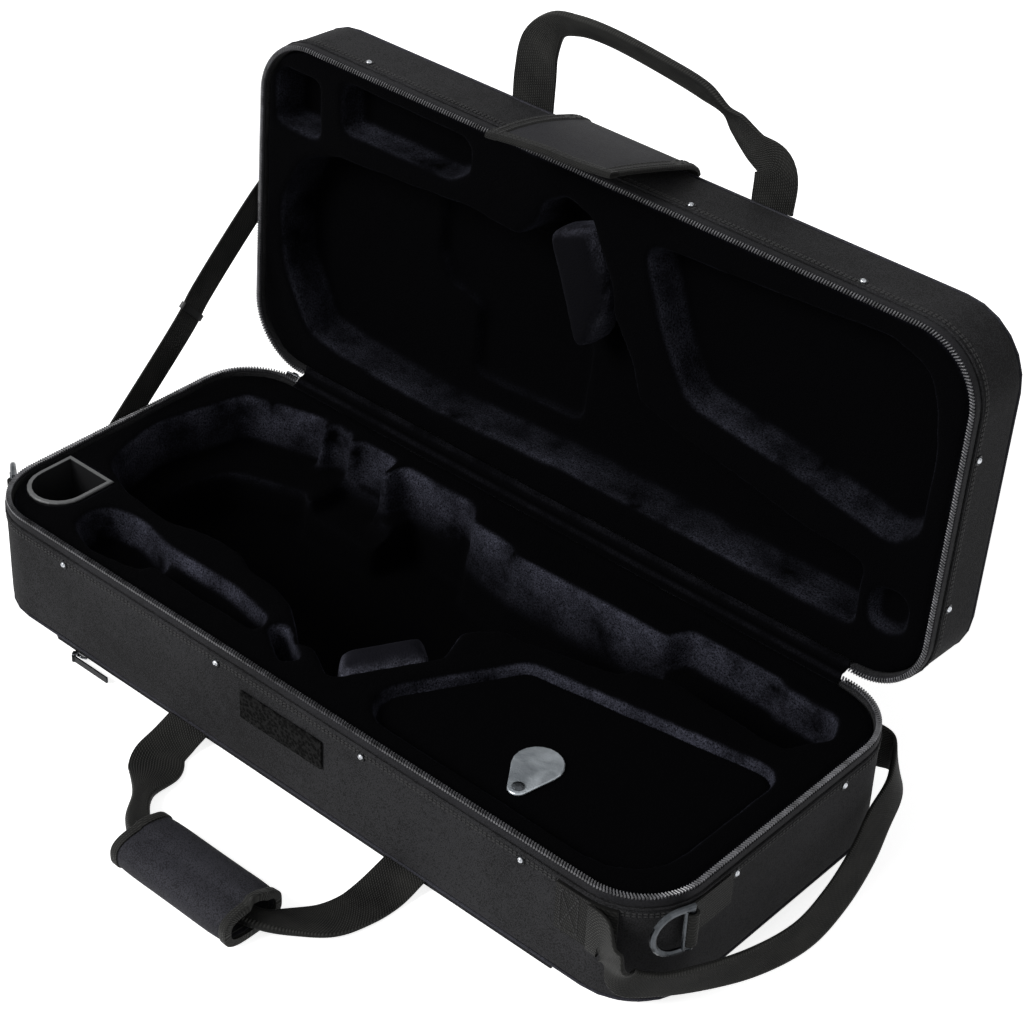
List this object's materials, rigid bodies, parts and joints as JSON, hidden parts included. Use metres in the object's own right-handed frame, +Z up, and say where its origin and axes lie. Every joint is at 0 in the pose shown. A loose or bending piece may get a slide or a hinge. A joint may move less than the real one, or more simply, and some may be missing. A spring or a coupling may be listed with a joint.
{
  "type": "alto saxophone case",
  "caption": "Alto saxophone case standing open: black fabric shells, moulded plush liner, zipper, webbing handles, D-rings, closing flap and mouthpiece tube.",
  "frame": {"origin": "centre of the underside of the pocket panel under the base", "axes": "+X along the case towards the end with the webbing handle, +Y towards the hinges at the back, +Z up"},
  "size_m": [0.7088, 0.4834, 0.4466],
  "materials": {
    "shell_fabric": "woven polyester, matt",
    "plush": "short pile, very dark",
    "webbing": "ribbed webbing",
    "wrap_fabric": "close weave with bound ends",
    "zipper_tape": "woven tape with nylon coil",
    "nickel": "nickel plate, satin",
    "cast_metal": "cast metal, grey, satin",
    "grey_plastic": "moulded plastic, satin",
    "silver_leather": "coated leather, silver grey"
  },
  "bodies": {
    "base": {"base_shell": "shell_fabric", "base_liner": "plush", "base_bolster": "plush", "base_zipper_tape": "zipper_tape", "base_seam_bead": "shell_fabric", "base_edge_piping": "shell_fabric", "mouthpiece_tube": "grey_plastic", "pocket_panel": "shell_fabric", "pocket_zipper_tape": "zipper_tape", "loop_patch": "webbing", "end_handle_front_patch": "webbing", "end_handle_rear_patch": "webbing", "right_ring_keeper": "webbing", "left_ring_keeper": "webbing", "stay_anchor_base": "webbing", "hinge_leaf_base_left": "nickel", "hinge_leaf_base_right": "nickel", "stay_strap": "webbing", "back_gusset": "shell_fabric", "base_stud_1": "nickel", "base_stud_2": "nickel", "base_stud_3": "nickel", "base_stud_4": "nickel", "base_stud_5": "nickel", "base_stud_6": "nickel", "base_stud_7": "nickel", "base_stud_8": "nickel"},
    "lid": {"lid_shell": "shell_fabric", "lid_liner": "plush", "lid_bolster": "plush", "lid_zipper_tape": "zipper_tape", "lid_seam_bead": "shell_fabric", "lid_edge_piping": "shell_fabric", "hinge_leaf_lid_left": "nickel", "hinge_leaf_lid_right": "nickel", "stay_anchor_lid": "webbing", "lid_stud_1": "nickel", "lid_stud_2": "nickel", "lid_stud_3": "nickel", "lid_stud_4": "nickel", "lid_stud_5": "nickel", "lid_stud_6": "nickel", "lid_stud_7": "nickel", "lid_stud_8": "nickel"},
    "flap": {"closing_flap": "shell_fabric", "hook_patch": "webbing"},
    "base_handle": {"base_handle_strap": "webbing", "handle_wrap": "wrap_fabric"},
    "lid_handle": {"lid_handle_strap": "webbing"},
    "end_handle": {"end_handle_strap": "webbing"},
    "ring_right": {"right_ring": "cast_metal"},
    "ring_left": {"left_ring": "cast_metal"},
    "panel": {"accessory_panel": "plush"},
    "tab": {"pull_tab": "silver_leather", "tab_rivet": "cast_metal"},
    "slider": {"zipper_slider": "nickel"},
    "slider_tag": {"slider_pull": "nickel"},
    "pocket_slide": {"pocket_slider": "nickel"},
    "pocket_tag": {"pocket_pull": "nickel"}
  },
  "joints": [
    {"name": "lid_hinge", "type": "hinge", "parent": "base", "child": "lid", "pos_m": [0, 0.1374, 0.0997], "axis": [1, 0, 0], "range_deg": [0, 93], "deforming": ["back_gusset", "stay_strap"]},
    {"name": "flap_hinge", "type": "hinge", "parent": "lid", "child": "flap", "pos_m": [0, 0.21212, 0.36875], "axis": [1, 0, 0], "range_deg": [-60, 14]},
    {"name": "base_handle_swing", "type": "hinge", "parent": "base", "child": "base_handle", "pos_m": [0, -0.13519, 0.00827], "axis": [-1, 0, 0], "range_deg": [0, 65]},
    {"name": "lid_handle_swing", "type": "hinge", "parent": "lid", "child": "lid_handle", "pos_m": [0, 0.21212, 0.36875], "axis": [-1, 0, 0], "range_deg": [-50, 140]},
    {"name": "end_handle_swing", "type": "hinge", "parent": "base", "child": "end_handle", "pos_m": [0.286, 0, 0.06075], "axis": [0, -0.9983, 0.0589], "range_deg": [-10, 18]},
    {"name": "right_ring_swing", "type": "hinge", "parent": "base", "child": "ring_right", "pos_m": [0.32255, -0.102, 0.076], "axis": [0, 0, -1], "range_deg": [-150, 15]},
    {"name": "left_ring_swing", "type": "hinge", "parent": "base", "child": "ring_left", "pos_m": [-0.32255, -0.099, 0.076], "axis": [0, 0, 1], "range_deg": [-32, 146]},
    {"name": "panel_hinge", "type": "hinge", "parent": "base", "child": "panel", "pos_m": [0.09842, 0.00043, 0.0897], "axis": [0.9879, 0.155, 0], "range_deg": [-68, 0]},
    {"name": "tab_swing", "type": "hinge", "parent": "panel", "child": "tab", "pos_m": [0.175, -0.101, 0.09], "axis": [-0.9781, -0.2079, 0], "range_deg": [-90, 0]},
    {"name": "slider_travel", "type": "hinge", "parent": "base", "child": "slider", "pos_m": [-0.2675, 0.086, 0.0973], "axis": [0, 0, 1], "range_deg": [0, 84]},
    {"name": "slider_pull_swing", "type": "hinge", "parent": "slider", "child": "slider_tag", "pos_m": [-0.2713, 0.14037, 0.0973], "axis": [0.9976, 0.0698, 0], "range_deg": [0, 80]},
    {"name": "pocket_slide", "type": "slide", "parent": "base", "child": "pocket_slide", "axis": [1, 0, 0], "range_m": [0, 0.05]},
    {"name": "pocket_pull_swing", "type": "hinge", "parent": "pocket_slide", "child": "pocket_tag", "pos_m": [-0.215, -0.13873, 0.0047], "axis": [0, 0, 1], "range_deg": [-80, 0]}
  ]
}
